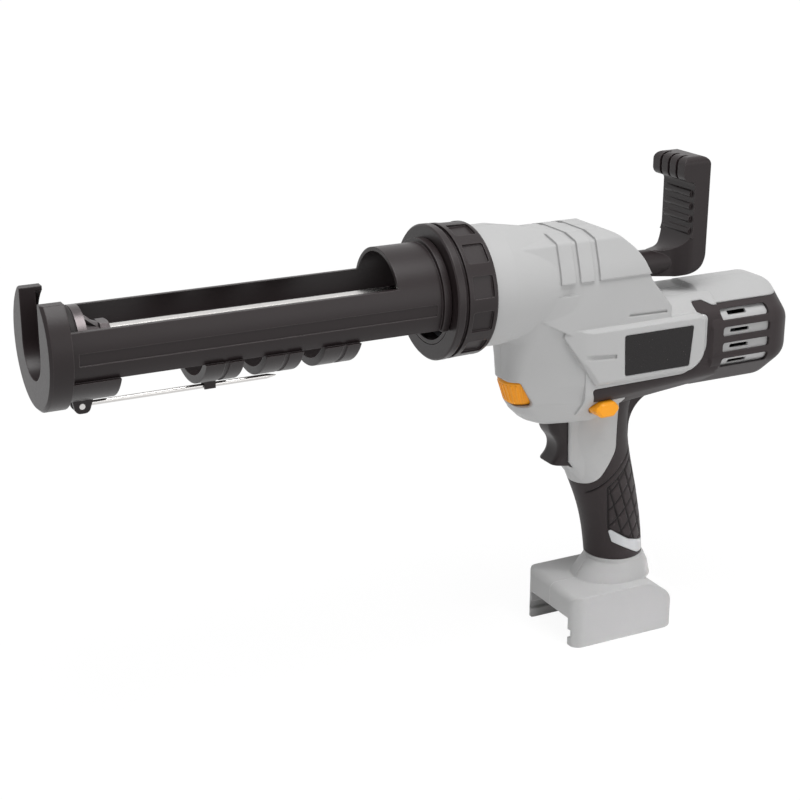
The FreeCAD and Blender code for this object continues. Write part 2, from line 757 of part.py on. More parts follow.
def dome_ribs():
    """Two ribs and a large pad that wrap over the dome."""
    keep = prism_y([(-30.0, 2.6, 0), (-30.0, 60.0, 0), (-130.0, 60.0, 0), (-130.0, 2.6, 0)], -60, 60)
    trim = prism_y(inset(dome_side, -rib_proud * 0.5), -60, 60)
    spans = ((-42.0, -51.0), (-54.0, -63.0), (-66.5, dome_rear - 2))
    section = inset(dome_section, -rib_proud)
    return [prism_x(section, start, stop).common(keep).common(trim) for start, stop in spans]


rubber_side = [(-56.0, -127.0, 0.0), (-79.0, -123.0, 13.0), (-90.5, -103.0, 12.0), (-91.5, -69.5, 1.5),
               (-67.0, -68.0, 1.5), (-65.0, -60.0, 1.5), (-128.0, -59.5, 13.0), (-141.0, -48.0, 10.0),
               (-141.0, -26.5, 3.0), (-134.8, -25.0, 1.0), (-134.0, -20.0, 1.0), (-141.0, -20.0, 2.0),
               (-147.0, -23.0, 3.0), (barrel_rear - 8, -23.0, 0.0), (barrel_rear - 8, -90.0, 0.0),
               (-160.0, -100.0, 0.0), (-160.0, -173.0, 0.0), (-56.0, -173.0, 0.0)]
accent_side = [(-88.5, -152.5, 1.0), (-101.0, -160.5, 3.0), (-126.0, -168.5, 1.0), (-126.0, -172.0, 1.0),
               (-109.0, -171.0, 3.0), (-91.5, -161.5, 1.5)]
slot_front = -151.0
slot_length = 33.0
slot_height = 5.8
slot_pitch = 9.3
slot_middle = -42.5
slot_count = 4
vent_setback = 6.0
vent_length = 13.0
vent_height = 2.2


def slot_prism(length, height, z, front):
    corners = [(front, z - height / 2, height * 0.3), (front - length, z - height / 2, height * 0.3),
               (front - length, z + height / 2, height * 0.3), (front, z + height / 2, height * 0.3)]
    return prism_y(corners, -60, 60)


def slot_heights():
    return [slot_middle + (i - (slot_count - 1) / 2) * slot_pitch for i in range(slot_count)]


screw_places = ((-30.0, 17.0), (-76.0, 15.0), (-118.0, -68.0), (-194.0, -30.0), (-194.0, -58.0), (-103.0, -150.0))
board_x = screw_places[3][0] + boss_radius
board_wall = 1.6
board_half_width = 16.0
saddle_x = -148.0
dial_lean = math.radians(10)
dial_axis = FreeCAD.Vector(math.sin(dial_lean), 0, math.cos(dial_lean))
dial_inward = FreeCAD.Vector(-math.cos(dial_lean), 0, math.sin(dial_lean))
dial_centre = FreeCAD.Vector(-25.4, 0, -63.0) + dial_inward * (dial_radius - dial_taper / 2 - dial_proud)
switch_x = (-76.0, -99.0)
switch_z = (-91.0, -115.0)
switch_half_width = 8.2


def dial_cylinder(radius, height):
    return Part.makeCylinder(radius, height, dial_centre - dial_axis * (height / 2), dial_axis)


def dial_cone(grow):
    """The dial's tapered drum, widened all round by grow."""
    start = dial_centre - dial_axis * (dial_height / 2 + grow)
    return Part.makeCone(dial_radius - dial_taper + grow, dial_radius + grow, dial_height + 2 * grow, start, dial_axis)


def dial_window():
    """A slot across the nose that bares the front of the dial on both sides."""
    half = dial_height / 2 + sliding_gap
    corners = []
    for along, across, radius in ((-2 * dial_radius, -half, 0.0), (-2 * dial_radius, half, 0.0),
                                  (-dial_reveal - dial_slant, half, 2.5), (-dial_reveal, -half, 2.5)):
        corner = dial_centre + dial_inward * along + dial_axis * across
        corners.append((corner.x, corner.z, radius))
    return prism_y(corners, -60, 60)


def inner_ribs():
    """What the hollow leaves standing: screw bosses, and the seats of the motor, board, switch and dial pin."""
    ribs = [bar_y(boss_radius, -60, 60, x, z) for x, z in screw_places]
    saddle = block((saddle_x - 2, saddle_x + 2), (-60, 60), (-90, 0))
    ribs.append(saddle.cut(bar_x(can_radius, -300, 0, 0, motor_z)))
    middle = (switch_x[0] + switch_x[1]) / 2
    for side in (1, -1):
        ribs.append(block((board_x - 2, board_x), (side * (board_half_width - 4), side * 40), (-62, -26)))
        ribs.append(block((middle - 4, middle + 4), (side * switch_half_width, side * 40),
                          (switch_z[1] + 6, switch_z[1] + 10)))
    ribs.append(dial_cylinder(dial_radius + 1.0, dial_height + 2 * dial_seat))
    return ribs


def selector_prism(grow, y_from, y_to):
    half = selector_length / 2
    high = selector_height / 2
    corners = [(selector_x - half, selector_z, 2.2), (selector_x - half + 4, selector_z + high, 2.2),
               (selector_x + half - 4, selector_z + high, 2.2), (selector_x + half, selector_z, 2.2),
               (selector_x + half - 4, selector_z - high, 2.2), (selector_x - half + 4, selector_z - high, 2.2)]
    return prism_y(inset(corners, -grow), y_from, y_to)


def trigger_opening():
    half = trigger_width / 2 + sliding_gap
    rear = trigger_rear - trigger_travel - sliding_gap
    return block((0.0, rear), (-half, half), (nose_tip, nose_tip - trigger_drop - 1.0))


def make_housing():
    outer = fused(upper_pieces(0.0) + [make_plinth(), make_foot(), side_bar()] + dome_ribs())
    core = fused(upper_pieces(rubber_wall))
    hollow = fused(upper_pieces(shell_wall)).cut(inner_ribs())
    rubber_zone = prism_y(rubber_side, -60, 60)
    accent_zone = prism_y(accent_side, -60, 60)
    skin = outer.cut(core)
    skin = skin.common(rubber_zone)
    windows = [slot_prism(slot_length, slot_height, z, slot_front) for z in slot_heights()]
    rubber = skin.cut(windows + [prism_y(inset(accent_side, -seam_gap), -60, 60)])
    accents = skin.common(accent_zone)
    accents = Part.makeCompound([split_y(accents, 1), split_y(accents, -1)])
    cleared = prism_y(inset(rubber_side, -seam_gap), -60, 60).cut(core)
    nose_bore = bar_x(tube_radius + hood_ring + 0.15, 1, -shell_wall - 1)
    openings = [nose_bore, bar_x(arm_radius + 0.6, -80, -125), selector_prism(sliding_gap, -60, 60),
                trigger_opening(), dial_cone(sliding_gap),
                dial_cylinder(dial_bore, dial_height + 2 * dial_seat)]
    motor_space = block((barrel_rear, 0), (-can_radius, can_radius), (barrel_bottom, 0))
    openings += [slot_prism(vent_length, vent_height, z, slot_front - vent_setback).cut(motor_space)
                 for z in slot_heights()]
    openings += side_lines() + [dial_window()]
    shell = outer.cut(cleared).cut(hollow)
    for opening in openings:
        shell = shell.cut(opening)
    return shell, rubber.cut(openings[2:4]), accents


def screw_holes(side):
    holes = []
    for x, z in screw_places:
        if side < 0:
            holes.append(bar_y(screw_head_radius + 0.3, -60, -screw_depth, x, z))
            holes.append(bar_y(screw_radius + 0.2, -60, 1, x, z))
        else:
            holes.append(bar_y(screw_radius, -1, screw_depth + 4, x, z))
    return holes


def make_screws():
    screws = []
    for x, z in screw_places:
        head = bar_y(screw_head_radius, -screw_depth - screw_head_height, -screw_depth, x, z)
        screws.append(head.fuse(bar_y(screw_radius, -screw_depth, screw_depth, x, z)).removeSplitter())
    return Part.makeCompound(screws)


def make_side_plate(pocket=0.0):
    """The blank plate on the left side bar; pocket widens it to cut its seat."""
    corners = [(-83.0, -30.5, 1.0), (-129.0, -30.5, 1.0), (-127.0, -53.5, 1.0), (-84.0, -53.5, 1.0)]
    reach = waist_half_width + bar_proud
    return prism_y(inset(corners, -pocket), reach - 0.8, reach + 0.25 + pocket * 10)


# Gear case, bushes and gear train

def make_gear_case():
    barrel = bar_x(socket_radius, -cup_depth, -10).fuse(bar_x(neck_radius - shell_wall - 3.4, -10, -cup_depth - 9))
    plate = [(-cup_depth - 7, case_top, 2), (-cup_depth - 7, -13.0, 3), (-40.0, -17.0, 6), (-52.0, -30.0, 6),
             (-55.0, case_bottom, 4), (case_rear, case_bottom, 4), (case_rear, -10.0, 6),
             (case_rear + case_rear_wall, case_top, 2)]
    sides = [prism_y(plate, case_plate_inner, case_half_width), prism_y(plate, -case_half_width, -case_plate_inner)]
    wall = block((case_rear, case_rear + case_rear_wall), (-case_plate_inner, case_plate_inner),
                 (case_bottom + 4, case_top - 0.6))
    case = joined([barrel] + sides + [wall])
    bores = [bar_x(rod_radius + bush_wall, 0, case_rear - 1)]
    for z, radius in ((pinion_z, shaft_radius), (motor_z, lay_radius)):
        bores.append(bar_y(radius + bush_wall, -60, 60, pinion_x, z))
    bores.append(bar_x(5.0 + bush_wall, case_rear - 1, case_rear + case_rear_wall + 1, 0, motor_z))
    return case.cut(bores)


def make_cradle_socket():
    """The sleeve on the front of the gear case that the cradle's flange is clamped to."""
    return tube_x(socket_radius, bore_radius + 0.2, flange_rear, -cup_depth)


def make_rod_bush(front, length):
    return tube_x(rod_radius + bush_wall, rod_radius + running_gap, front, front - length)


def make_shaft_bushes(z, radius):
    bushes = []
    for side in (1, -1):
        inner, outer = side * case_plate_inner, side * case_half_width
        bushes.append(tube_y(radius + bush_wall, radius + running_gap, inner, outer, pinion_x, z))
    return Part.makeCompound(bushes)


def make_drive_pinion():
    half = pinion_width / 2
    gear = spur_y(pinion_teeth, rack_module, -half, half, pinion_x, pinion_z)
    return gear.cut(bar_y(shaft_radius, -60, 60, pinion_x, pinion_z))


def make_pinion_shaft():
    return bar_y(shaft_radius, -case_half_width, case_half_width, pinion_x, pinion_z)


output_start = pinion_width / 2 + 2.5


def make_clutch_disc():
    start = pinion_width / 2 + 0.3
    return tube_y(11.0, shaft_radius, start, output_start - 0.2, pinion_x, pinion_z)


def make_output_gear():
    stop = output_start + output_width
    turn = math.pi / output_teeth
    gear = spur_y(output_teeth, spur_module, output_start, stop, pinion_x, pinion_z, turn)
    hollow = tube_y(16.0, 9.0, stop - 1.2, stop + 1, pinion_x, pinion_z)
    return gear.cut(hollow).cut(bar_y(shaft_radius + running_gap, -60, 60, pinion_x, pinion_z))


def make_clutch_spring():
    """A cone washer that presses the output gear against the friction disc."""
    start = output_start + output_width + 0.2
    profile = [(shaft_radius, 1.0), (8.5, 0.0), (8.5, 0.8), (shaft_radius, 1.8)]
    points = [point(pinion_x + r, start + y, pinion_z) for r, y in profile]
    face = Part.Face(Part.makePolygon(points + points[:1]))
    return face.revolve(point(pinion_x, 0, pinion_z), point(0, 1, 0), 360)


def make_clutch_collar():
    start = output_start + output_width + 2.0
    return tube_y(7.0, shaft_radius, start, case_plate_inner - 0.3, pinion_x, pinion_z)


def make_layshaft():
    return bar_y(lay_radius, -case_half_width, case_half_width, pinion_x, motor_z)


def make_layshaft_pinion():
    gear = spur_y(layshaft_teeth, spur_module, output_start + 0.3, output_start + output_width + 0.5, pinion_x, motor_z)
    return gear.cut(bar_y(lay_radius, -60, 60, pinion_x, motor_z))


def make_bevel_gear():
    def place(a, b, along):
        return point(pinion_x - a, -along, motor_z + b)
    turn = math.pi / bevel_gear_teeth
    teeth = bevel_teeth(bevel_gear_teeth, bevel_gear_radius, bevel_pinion_radius, 0.9, 1.9, place, turn)
    back = -bevel_pinion_radius
    hub = bar_y(bevel_gear_radius - 4.0, back, -case_plate_inner + 0.4, pinion_x, motor_z)
    gear = teeth.fuse(hub).removeSplitter()
    return gear.cut(bar_y(lay_radius, -60, 60, pinion_x, motor_z))


def make_bevel_pinion():
    def place(a, b, along):
        return point(pinion_x - along, -a, motor_z + b)
    return bevel_teeth(bevel_pinion_teeth, bevel_pinion_radius, bevel_gear_radius, 1.2, 1.6, place, 0.0)


carrier_front = case_rear - 1.5
carrier_plate = 3.0
planets_front = carrier_front - carrier_plate - 0.4
ring_rear = planets_front - planet_width - 1.6
can_front = ring_rear


def make_planet_carrier():
    shaft = bar_x(5.0, pinion_x - bevel_gear_radius, carrier_front, 0, motor_z)
    plate = bar_x(carrier_radius + 3.5, carrier_front, carrier_front - carrier_plate, 0, motor_z)
    pins = []
    for angle in planet_angles():
        y = carrier_radius * math.cos(angle)
        z = motor_z + carrier_radius * math.sin(angle)
        pins.append(bar_x(2.0, carrier_front, planets_front - planet_width - 0.3, y, z))
    return joined([shaft, plate] + pins)


def planet_angles():
    return [math.pi / 2 + 2 * math.pi * i / planet_count for i in range(planet_count)]


def planet_turn(angle):
    """The turn at which a planet's gap meets the sun's tooth on the line between them."""
    sun_phase = sun_teeth * angle / (2 * math.pi)
    return angle + math.pi - 2 * math.pi / planet_teeth * (0.5 - sun_phase)


def make_planet(angle):
    y = carrier_radius * math.cos(angle)
    z = motor_z + carrier_radius * math.sin(angle)
    gear = spur_x(planet_teeth, planet_module, planets_front, planets_front - planet_width, y, z, planet_turn(angle))
    return gear.cut(bar_x(2.0 + running_gap, -300, 0, y, z))


def make_sun_gear():
    gear = spur_x(sun_teeth, planet_module, planets_front - 0.5, ring_rear + 0.2, 0, motor_z)
    return gear.cut(bar_x(motor_shaft_radius, -300, 0, 0, motor_z))


def make_ring_gear():
    radius = planet_module * ring_teeth / 2 + 3.7
    first = planet_angles()[0]
    planet_phase = planet_teeth * (first - planet_turn(first)) / (2 * math.pi)
    turn = first - 2 * math.pi / ring_teeth * planet_phase
    ring = bar_x(radius, case_rear, ring_rear, 0, motor_z)
    teeth = spur_x(ring_teeth, planet_module, planets_front + 0.2, ring_rear - 1, 0, motor_z, turn, 1.25, 0.9,
                   -tooth_backlash)
    bay = bar_x(carrier_radius + 4.2, case_rear + 1, planets_front + 0.2, 0, motor_z)
    return ring.cut(teeth).cut(bay)


# Motor

can_rear = can_front - can_length
end_bell_length = 6.0
rotor_radius = can_radius - can_wall - magnet_wall - air_gap


def make_motor_can():
    can = tube_x(can_radius, can_radius - can_wall, can_front, can_rear, motor_z)
    front = tube_x(can_radius, 6.0, can_front, can_front - 2.0, motor_z)
    return can.fuse(front).removeSplitter()


def make_motor_bearing():
    return tube_x(6.0, motor_shaft_radius + running_gap, can_front - 0.3, can_front - 4.0, motor_z)


def make_magnets():
    inner = can_radius - can_wall - magnet_wall
    ring = tube_x(can_radius - can_wall, inner, can_front - 6, can_rear + 14, motor_z)
    gaps = block((can_rear, can_front), (-can_radius, can_radius), (motor_z - 4, motor_z + 4))
    return ring.cut(gaps)


def make_armature():
    start, stop = can_front - 9, can_rear + 17
    core = bar_x(rotor_radius, start, stop, 0, motor_z)
    slots = []
    for i in range(5):
        slot = block((stop - 1, start + 1), (-1.0, 1.0), (rotor_radius - 6, rotor_radius + 1))
        slot.rotate(point(0, 0, 0), point(1, 0, 0), 72.0 * i)
        slot.translate(point(0, 0, motor_z))
        slots.append(slot)
    return core.cut(slots).cut(bar_x(motor_shaft_radius, -300, 0, 0, motor_z))


def make_commutator():
    drum = bar_x(6.0, can_rear + 15, can_rear + 3, 0, motor_z)
    return drum.cut(bar_x(motor_shaft_radius, -300, 0, 0, motor_z))


def make_motor_shaft():
    return bar_x(motor_shaft_radius, planets_front - 0.8, can_rear - end_bell_length - 12, 0, motor_z)


def make_end_bell():
    bell = bar_x(can_radius, can_rear, can_rear - end_bell_length, 0, motor_z)
    return bell.cut(bar_x(motor_shaft_radius + running_gap, -300, 0, 0, motor_z))


def make_fan():
    front = can_rear - end_bell_length - 2.0
    length = 7.0
    hub = bar_x(6.0, front, front - length, 0, motor_z)
    disc = bar_x(fan_radius, front - length + 1.5, front - length, 0, motor_z)
    blades = []
    for i in range(9):
        blade = block((front - length + 1, front), (-0.7, 0.7), (4.0, fan_radius - 0.5))
        blade.rotate(point(0, 0, 0), point(1, 0, 0), 40.0 * i)
        blade.translate(point(0, 0, motor_z))
        blades.append(blade)
    fan = joined([hub, disc] + blades)
    return fan.cut(bar_x(motor_shaft_radius, -300, 0, 0, motor_z))


# Trigger, switch, selector, dial and battery contacts

def make_trigger():
    top = nose_tip - sliding_gap
    low = nose_tip - trigger_drop
    side = [(-50.0, top, 2.0), (trigger_rear, top, 0.0), (trigger_rear, low, 0.0), (-56.5, low, 3.0),
            (-53.0, low + 5.0, 3.0), (-56.0, top - 12.0, 16.0)]
    half = trigger_width / 2
    blade = prism_y(side, -half, half)
    plan = [(-49.0, half, 5.0), (-49.0, -half, 5.0), (-80.0, -half, 0.0), (-80.0, half, 0.0)]
    blade = blade.common(prism_z(plan, low - 5, top + 5))
    plunger = bar_x(stud_radius, trigger_rear + 0.5, switch_x[0] - 1.5, 0, sum(switch_z) / 2)
    return blade.fuse(plunger).removeSplitter()


def make_switch():
    body = block(switch_x, (-switch_half_width, switch_half_width), switch_z)
    bore = bar_x(stud_radius + sliding_gap, switch_x[0] + 1, switch_x[0] - trigger_travel - 3, 0, sum(switch_z) / 2)
    return body.cut(bore)


def make_selector():
    bar = selector_prism(0.0, -selector_end + selector_travel + 2, selector_end)
    ends = [edge for edge in bar.Edges if abs(edge.BoundBox.YMax - edge.BoundBox.YMin) < 0.01]
    return bar.makeChamfer(1.2, ends)


def make_dial():
    dial = dial_cone(0.0)
    rims = [edge for edge in dial.Edges if edge.Curve.TypeId == "Part::GeomCircle"]
    dial = dial.makeChamfer(1.2, rims)
    return dial.cut(dial_cylinder(dial_bore + running_gap, dial_height + 2))


def make_dial_pin():
    return dial_cylinder(dial_bore, dial_height + 2 * dial_seat)


def make_control_board():
    return block((board_x, board_x + board_wall), (-board_half_width, board_half_width), (-62.0, -26.0))


def make_terminal_block():
    body = block((-92.0, channel_rear), (-13.0, 13.0), (channel_top, channel_top - 6.0))
    slots = [block((-91.0, channel_rear + 4), (y - 0.5, y + 0.5), (channel_top - 1.5, channel_top - 5.0))
             for y in contact_rows()]
    return body.cut(slots)


def contact_rows():
    return [-9.0, -3.0, 3.0, 9.0]


def make_contacts():
    blades = [block((-80.0, channel_rear + 4), (y - 0.5, y + 0.5), (channel_top - 1.5, channel_top - 5.0))
              for y in contact_rows()]
    return Part.makeCompound(blades)


shell, rubber, accents = make_housing()
left_shell = split_y(shell, 1).cut(screw_holes(1) + [make_side_plate(0.2)])
right_shell = split_y(shell, -1).cut(screw_holes(-1))
right_rubber = split_y(rubber, -1).cut(screw_holes(-1))

nodes = {
    "cartridge_cradle": make_cradle(),
    "front_cap": make_front_cap(),
    "lock_ring": make_lock_ring(),
    "piercing_wire": make_wire(),
    "wire_pivot_pin": bar_y(wire_pin_radius, -wire_ear_half_width, wire_ear_half_width, wire_pivot_x, wire_z),
    "push_rod": make_push_rod(),
    "piston_plate": make_piston_plate(),
    "piston_wiper": make_piston_wiper(),
    "piston_screw": make_piston_screw(),
    "piston_nut": make_piston_nut(),
    "pull_handle": make_pull_handle(),
    "left_housing": left_shell,
    "right_housing": right_shell,
    "left_overmould": split_y(rubber, 1),
    "right_overmould": right_rubber,
    "grip_accents": accents,
    "side_plate": make_side_plate(),
    "housing_screws": make_screws(),
    "gear_case": make_gear_case(),
    "cradle_socket": make_cradle_socket(),
    "rod_bush_front": make_rod_bush(-cup_depth, 9.0),
    "rod_bush_rear": make_rod_bush(case_rear + case_rear_wall, case_rear_wall),
    "pinion_bushes": make_shaft_bushes(pinion_z, shaft_radius),
    "layshaft_bushes": make_shaft_bushes(motor_z, lay_radius),
    "carrier_bush": tube_x(5.0 + bush_wall, 5.0 + running_gap, case_rear, case_rear + case_rear_wall, motor_z),
    "drive_pinion": make_drive_pinion(),
    "pinion_shaft": make_pinion_shaft(),
    "clutch_disc": make_clutch_disc(),
    "clutch_spring": make_clutch_spring(),
    "clutch_collar": make_clutch_collar(),
    "output_gear": make_output_gear(),
    "layshaft": make_layshaft(),
    "layshaft_pinion": make_layshaft_pinion(),
    "bevel_gear": make_bevel_gear(),
    "bevel_pinion": make_bevel_pinion(),
    "planet_carrier": make_planet_carrier(),
    "sun_gear": make_sun_gear(),
    "ring_gear": make_ring_gear(),
    "motor_can": make_motor_can(),
    "motor_bearing": make_motor_bearing(),
    "motor_magnets": make_magnets(),
    "armature": make_armature(),
    "commutator": make_commutator(),
    "motor_shaft": make_motor_shaft(),
    "motor_end_bell": make_end_bell(),
    "cooling_fan": make_fan(),
    "trigger": make_trigger(),
    "trigger_switch": make_switch(),
    "selector_button": make_selector(),
    "speed_dial": make_dial(),
    "dial_pin": make_dial_pin(),
    "control_board": make_control_board(),
    "terminal_block": make_terminal_block(),
    "contact_blades": make_contacts(),
}
for number, angle in enumerate(planet_angles(), 1):
    nodes["planet_gear_%d" % number] = make_planet(angle)

os.makedirs("parts", exist_ok=True)
for name, shape in nodes.items():
    shape.exportStep("parts/%s.step" % name)
    print(name, len(shape.Solids), "solids", round(shape.Volume), "mm3", "valid" if shape.isValid() else "INVALID")
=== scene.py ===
import json
import math

import bmesh
import bpy
from mathutils import Matrix, Vector


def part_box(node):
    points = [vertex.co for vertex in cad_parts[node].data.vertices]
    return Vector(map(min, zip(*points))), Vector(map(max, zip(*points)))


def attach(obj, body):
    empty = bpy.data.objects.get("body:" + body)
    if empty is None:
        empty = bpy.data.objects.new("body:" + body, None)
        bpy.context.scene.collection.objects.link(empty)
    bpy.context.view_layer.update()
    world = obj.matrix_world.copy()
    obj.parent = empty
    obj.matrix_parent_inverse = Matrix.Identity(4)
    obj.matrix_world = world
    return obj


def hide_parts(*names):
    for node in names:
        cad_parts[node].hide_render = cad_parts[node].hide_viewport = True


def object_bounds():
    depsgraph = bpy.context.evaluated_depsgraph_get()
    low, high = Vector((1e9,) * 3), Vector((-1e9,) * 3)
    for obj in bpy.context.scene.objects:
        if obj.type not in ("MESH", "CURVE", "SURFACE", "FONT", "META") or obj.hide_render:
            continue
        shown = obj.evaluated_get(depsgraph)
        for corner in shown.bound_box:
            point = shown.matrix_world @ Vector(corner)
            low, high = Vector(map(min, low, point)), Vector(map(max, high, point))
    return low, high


# %% [markdown]
# # A cordless caulking tool
# The frame brings in every solid of the tool, in metres, with X forwards along
# the cartridge, Y to the tool's left and Z up. The solids already have the right
# shapes, so this lesson gives them their finishes and adds the small pieces that
# are quicker to model as meshes.

# %% Load the frame
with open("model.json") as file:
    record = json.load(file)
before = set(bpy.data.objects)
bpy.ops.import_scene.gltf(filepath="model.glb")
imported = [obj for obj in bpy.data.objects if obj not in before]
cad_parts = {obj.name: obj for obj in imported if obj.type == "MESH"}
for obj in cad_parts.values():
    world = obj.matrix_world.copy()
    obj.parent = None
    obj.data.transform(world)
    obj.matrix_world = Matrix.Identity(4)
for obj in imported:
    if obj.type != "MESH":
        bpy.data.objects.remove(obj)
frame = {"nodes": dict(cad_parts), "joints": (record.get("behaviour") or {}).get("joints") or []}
nodes = frame["nodes"]
joints = {joint["name"]: joint for joint in frame["joints"]}
cad_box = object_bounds()
print("nodes:", len(nodes), "size in mm:", [round(1000 * side) for side in cad_box[1] - cad_box[0]])

# %% [markdown]
# ## The camera
# The picture was taken from the front left and a little above, with a longish lens.
# A lens of 77 mm on a 36 mm sensor gives the same mild perspective: the nozzle end
# is nearer than the battery foot and looks only a little larger.

# %% Camera
MM = 0.001
camera_target = Vector((40, 0, -58)) * MM
camera_back = Vector((0.42964, 0.84322, 0.32309)).normalized()
camera_distance = 918 * MM
camera_data = bpy.data.cameras.new("photo_camera")
camera_data.lens = 76.63
camera_data.sensor_width = 36
camera_data.clip_start = 0.02
camera_data.clip_end = 60
camera = bpy.data.objects.new("photo_camera", camera_data)
camera.location = camera_target + camera_back * camera_distance
camera.rotation_mode = "QUATERNION"
camera.rotation_quaternion = camera_back.to_track_quat("Z", "Y")
bpy.context.scene.collection.objects.link(camera)
bpy.context.scene.camera = camera
print("camera at, in mm:", [round(place / MM) for place in camera.location])

# %% [markdown]
# ## Helpers for materials
# A colour is written as the hex value that a paint program shows, and Blender wants
# it linear. `feed` sets a node's inputs and `add_node` adds any node, so each finish
# below reads from top to bottom like a recipe.

# %% Material helpers


def colour(hex_value):
    """A linear colour from an sRGB hex value such as "3A3536"."""
    channels = [int(hex_value[i:i + 2], 16) / 255 for i in (0, 2, 4)]
    linear = [c / 12.92 if c <= 0.04045 else ((c + 0.055) / 1.055) ** 2.4 for c in channels]
    return (*linear, 1.0)


def feed(tree, node, inputs):
    """Sets inputs, given by name or number, to a value or to the socket to link from."""
    for name, value in inputs.items():
        if isinstance(value, bpy.types.NodeSocket):
            tree.links.new(value, node.inputs[name])
        else:
            node.inputs[name].default_value = value


def add_node(tree, kind, inputs=None, **settings):
    """Adds a node, with its settings made before its inputs are fed."""
    made = tree.nodes.new(kind)
    for name, value in settings.items():
        setattr(made, name, value)
    feed(tree, made, inputs or {})
    return made


def new_material(name):
    """An empty material, its node tree and its Principled shader."""
    material = bpy.data.materials.new(name)
    material.use_nodes = True
    return material, material.node_tree, material.node_tree.nodes["Principled BSDF"]


def paint(material, *names):
    """Gives CAD nodes a material."""
    for name in names:
        piece = bpy.data.objects[name]
        if not piece.material_slots:
            piece.data.materials.append(material)
        for place in piece.material_slots:
            place.material = material
    print(material.name, "on", ", ".join(names))


# %% [markdown]
# The finishes share a few ingredients. A noise in the object's own coordinates has a
# real size in mm and needs no unwrapping. It drives the tone, the gloss and the relief,
# so that they vary together as they do on a real surface.

# %% Ingredients of a finish


def object_place(tree):
    """Places in the object's own coordinates, in metres."""
    return add_node(tree, "ShaderNodeTexCoord").outputs["Object"]


def noise(tree, place, size_mm, detail):
    """A cloudy pattern from 0 to 1, with clouds of about this size."""
    inputs = {"Vector": place, "Scale": 1 / (size_mm * MM), "Detail": detail}
    return add_node(tree, "ShaderNodeTexNoise", inputs).outputs["Fac"]


def calculated(tree, operation, first, second):
    """A sum, product or the like of two values."""
    return add_node(tree, "ShaderNodeMath", {0: first, 1: second}, operation=operation).outputs[0]


def ranged(tree, value, low, high):
    """A value from 0 to 1, stretched to run from low to high."""
    return add_node(tree, "ShaderNodeMapRange", {"Value": value, "To Min": low, "To Max": high}).outputs[0]


def shaded(tree, tint, shade):
    """A hex colour made lighter or darker by a factor."""
    return add_node(tree, "ShaderNodeHueSaturation", {"Value": shade, "Color": colour(tint)}).outputs[0]


def covered(tree, share, under, over):
    """One colour under another that covers a share of it."""
    return add_node(tree, "ShaderNodeMix", {"Factor": share, 6: under, 7: over}, data_type="RGBA").outputs[2]


def rounded_normal(tree, radius_mm, samples=6):
    """Normals that round the edges off, in the shading alone."""
    return add_node(tree, "ShaderNodeBevel", {"Radius": radius_mm * MM}, samples=samples).outputs[0]


def relief(tree, height, normal, strength, depth_mm):
    """Normals that show a pattern of heights as fine relief."""
    inputs = {"Height": height, "Normal": normal, "Strength": strength, "Distance": depth_mm * MM}
    return add_node(tree, "ShaderNodeBump", inputs).outputs[0]


# %% [markdown]
# ## Helpers for new pieces
# Some pieces start as a copy of a CAD solid and get finer detail. The solid comes as loose
# triangles, so its doubles are merged first. bmesh operators take and give back faces, edges
# and corners in one list, so two helpers make such a list and sort one out. The last helper
# turns a finished bmesh into an object: edges sharper than 20 degrees stay crisp, and the
# rest is shaded smooth with the large faces leading, as the CAD's own surfaces do. The piece
# rides on a body and gets its material.

# %% Piece helpers
same_point = 1e-6
cut_tolerance = 1e-7
sharp_angle = math.radians(20)


def copied(node):
    """A bmesh of a CAD node with its loose triangles joined."""
    bm = bmesh.new()
    bm.from_mesh(nodes[node].data)
    bmesh.ops.remove_doubles(bm, verts=bm.verts, dist=same_point)
    return bm


def with_borders(faces):
    """Faces together with their edges and corners, each once."""
    corners = dict.fromkeys(vert for face in faces for vert in face.verts)
    edges = dict.fromkeys(edge for face in faces for edge in face.edges)
    return [*corners, *edges, *faces]


def only(kind, items):
    """The faces, edges or corners among the items."""
    return [item for item in items if isinstance(item, kind)]


def finished(bm, name, body, material, replaced=()):
    """Turns a bmesh into a piece that rides on a body, in place of the CAD nodes that it replaces."""
    bmesh.ops.remove_doubles(bm, verts=bm.verts, dist=cut_tolerance)
    bmesh.ops.recalc_face_normals(bm, faces=bm.faces)
    mesh = bpy.data.meshes.new(name)
    bm.to_mesh(mesh)
    bm.free()
    mesh.shade_smooth()
    mesh.set_sharp_from_angle(angle=sharp_angle)
    mesh.materials.append(material)
    piece = bpy.data.objects.new(name, mesh)
    bpy.context.scene.collection.objects.link(piece)
    piece.modifiers.new("flat_faces_lead", "WEIGHTED_NORMAL").keep_sharp = True
    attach(piece, body)
    if replaced:
        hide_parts(*replaced)
    print(name, "has", len(mesh.polygons), "faces")


# %% [markdown]
# ## Moulded plastic
# The shells are a light grey ABS blend. The mould is spark-eroded, so the skin is a
# fine orange-peel that spreads highlights, and corners have a small radius that
# catches the light. The grain is drawn at 0.9 mm, coarser than the real one, so that
# it still shows at this distance. The Bevel node rounds the edges in the shading
# alone, and the angle between its normal and the true one finds the edges, where
# the colour is painted lighter as a painted highlight.

# %% Plastic finish
flat_match, edge_match = 0.995, 0.80  # cosine of that angle where an edge begins, and where it is full
# share of the lighter edge tint at a full edge: a painted highlight
edge_highlight_share = 0.55
plastic_cloud_mm = 38


